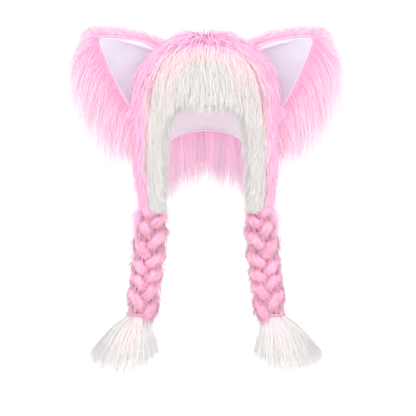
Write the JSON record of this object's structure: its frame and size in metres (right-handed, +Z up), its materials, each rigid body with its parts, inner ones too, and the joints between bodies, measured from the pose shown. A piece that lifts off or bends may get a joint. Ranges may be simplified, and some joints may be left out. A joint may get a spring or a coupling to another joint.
{
  "type": "animal hat",
  "caption": "Faux-fur bonnet with two upright animal ears, a pale fur edge round the face, and ear flaps that end in plaited tails with tassels.",
  "frame": {"origin": "top of the inside of the crown, where the hat sits on a head", "axes": "+Z up, the face opening towards -Y, and the wearer's left ear towards +X"},
  "size_m": [0.3854, 0.2338, 0.4926],
  "materials": {
    "lining": "smooth pale lilac lining cloth with a faint sheen",
    "pink_fur": "long soft pink faux fur",
    "pale_fur": "long soft cream white faux fur",
    "ear_plush": "short smooth lilac white plush",
    "plait_fur": "plaited strips of pink faux fur",
    "tassel_fur": "loose cream white faux fur"
  },
  "bodies": {
    "root": {"hood_lining": "lining", "crown_fur": "pink_fur", "face_trim_fur": "pale_fur", "ear_fur_left": "pink_fur", "ear_fur_right": "pink_fur", "ear_panel_left": "ear_plush", "ear_panel_right": "ear_plush", "tail_strand_left_1": "plait_fur", "tail_strand_left_2": "plait_fur", "tail_strand_left_3": "plait_fur", "tail_strand_right_1": "plait_fur", "tail_strand_right_2": "plait_fur", "tail_strand_right_3": "plait_fur", "tassel_left": "tassel_fur", "tassel_right": "tassel_fur"}
  },
  "joints": []
}
